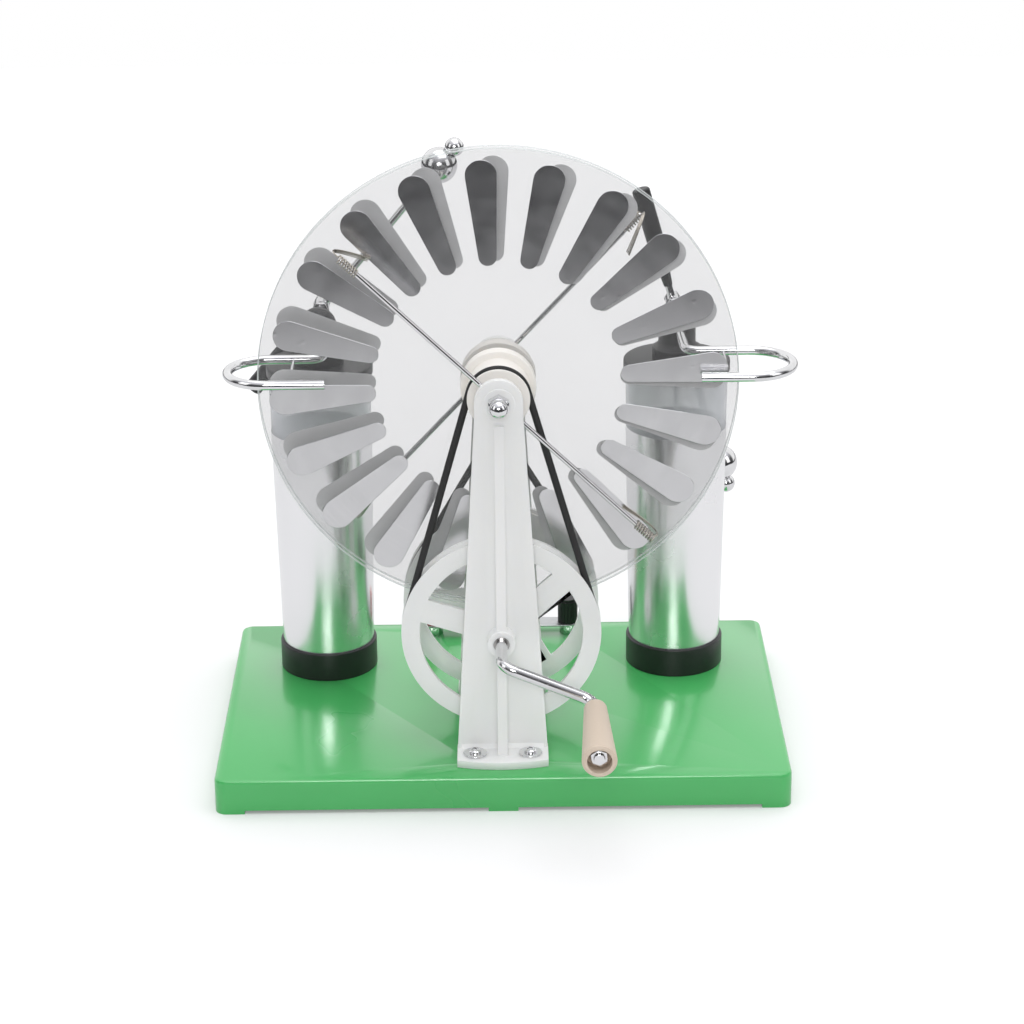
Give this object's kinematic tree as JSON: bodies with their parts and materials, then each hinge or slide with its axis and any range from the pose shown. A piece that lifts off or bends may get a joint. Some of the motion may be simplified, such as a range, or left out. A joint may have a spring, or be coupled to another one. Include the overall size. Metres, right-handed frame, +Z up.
{
  "type": "wimshurst machine",
  "caption": "Hand-cranked electrostatic generator: two clear foil-sectored discs that turn against each other, storage jars, collectors and discharge rods on a tray base.",
  "frame": {"origin": "centre of the base's underside, on the table", "axes": "+X to the right and +Y away from the person at the crank, +Z up"},
  "size_m": [0.2949, 0.2688, 0.326],
  "materials": {
    "green plastic": "gloss",
    "milk plastic": "satin",
    "black plastic": "satin",
    "red plastic": "gloss",
    "beige plastic": "satin",
    "plated steel": "polished",
    "shaft bush": "satin",
    "clear disc": "clear",
    "sector foil": "satin",
    "jar foil": "polished",
    "clear jar": "clear",
    "belt rubber": "matte",
    "link strip": "satin"
  },
  "bodies": {
    "machine_frame": {"base": "green plastic", "front_upright": "milk plastic", "rear_upright": "milk plastic", "upright_screws": "plated steel", "upright_washers": "plated steel", "front_shaft_bush": "shaft bush", "rear_shaft_bush": "shaft bush", "disc_axle": "plated steel", "axle_cap_nuts": "plated steel", "front_belt": "belt rubber", "rear_belt": "belt rubber", "left_jar_cap": "black plastic", "right_jar_cap": "black plastic", "left_jar": "clear jar", "right_jar": "clear jar", "left_jar_foil": "jar foil", "right_jar_foil": "jar foil", "left_inner_foil": "jar foil", "right_inner_foil": "jar foil", "left_lid": "black plastic", "right_lid": "black plastic", "left_turret": "black plastic", "right_turret": "black plastic", "left_contact_rod": "plated steel", "right_contact_rod": "plated steel", "left_collector": "plated steel", "right_collector": "plated steel", "collector_points": "plated steel", "collector_end_nuts": "plated steel", "terminal_studs": "plated steel", "terminal_nuts": "plated steel", "link_strip": "link strip"},
    "crank_set": {"drive_shaft": "plated steel", "front_drive_wheel": "milk plastic", "rear_drive_wheel": "milk plastic", "wheel_grub_screws": "plated steel", "shaft_collar": "plated steel", "grip_nut": "plated steel"},
    "crank_handle": {"crank_grip": "beige plastic"},
    "front_disc_set": {"front_disc": "clear disc", "front_sectors": "sector foil", "front_hub": "milk plastic", "front_clamp_ring": "milk plastic"},
    "rear_disc_set": {"rear_disc": "clear disc", "rear_sectors": "sector foil", "rear_hub": "milk plastic", "rear_clamp_ring": "milk plastic"},
    "front_neutraliser_set": {"front_neutraliser": "plated steel", "front_brushes": "plated steel"},
    "rear_neutraliser_set": {"rear_neutraliser": "plated steel", "rear_brushes": "plated steel"},
    "left_discharge_rod": {"left_spark_rod": "plated steel", "left_spark_handle": "black plastic"},
    "right_discharge_rod": {"right_spark_rod": "plated steel", "right_spark_handle": "black plastic"},
    "red_terminal_knob": {"red_knob": "red plastic"},
    "black_terminal_knob": {"black_knob": "black plastic"}
  },
  "joints": [
    {"name": "crank_turn", "type": "hinge", "parent": "machine_frame", "child": "crank_set", "pos_m": [0, -0.0345, 0.0825], "axis": [0, -1, 0], "continuous": true},
    {"name": "grip_spin", "type": "hinge", "parent": "crank_set", "child": "crank_handle", "pos_m": [0.04557, -0.14, 0.06316], "axis": [0, -1, 0], "continuous": true},
    {"name": "front_disc_spin", "type": "hinge", "parent": "machine_frame", "child": "front_disc_set", "pos_m": [0, -0.0345, 0.2065], "axis": [0, -1, 0], "continuous": true},
    {"name": "rear_disc_spin", "type": "hinge", "parent": "machine_frame", "child": "rear_disc_set", "pos_m": [0, -0.0345, 0.2065], "axis": [0, -1, 0], "continuous": true},
    {"name": "front_neutraliser_tilt", "type": "hinge", "parent": "machine_frame", "child": "front_neutraliser_set", "pos_m": [0, -0.0345, 0.2065], "axis": [0, -1, 0], "range_deg": [-15, 15]},
    {"name": "rear_neutraliser_tilt", "type": "hinge", "parent": "machine_frame", "child": "rear_neutraliser_set", "pos_m": [0, -0.0345, 0.2065], "axis": [0, -1, 0], "range_deg": [-15, 15]},
    {"name": "left_rod_swing", "type": "hinge", "parent": "machine_frame", "child": "left_discharge_rod", "pos_m": [-0.0938, 0.0805, 0.2105], "axis": [0, -1, 0], "range_deg": [-10, 208]},
    {"name": "right_rod_swing", "type": "hinge", "parent": "machine_frame", "child": "right_discharge_rod", "pos_m": [0.0938, 0.0805, 0.2105], "axis": [0, -1, 0], "range_deg": [-4, 214]},
    {"name": "red_knob_turn", "type": "hinge", "parent": "machine_frame", "child": "red_terminal_knob", "pos_m": [-0.037, 0.083, 0.03], "axis": [0, 0, 1], "range_deg": [0, 360]},
    {"name": "black_knob_turn", "type": "hinge", "parent": "machine_frame", "child": "black_terminal_knob", "pos_m": [0.037, 0.083, 0.03], "axis": [0, 0, 1], "range_deg": [0, 360]}
  ],
  "couplings": [
    {"joint": "front_disc_spin", "follows": "crank_turn", "ratio": 3.3082},
    {"joint": "rear_disc_spin", "follows": "crank_turn", "ratio": -3.3082}
  ]
}
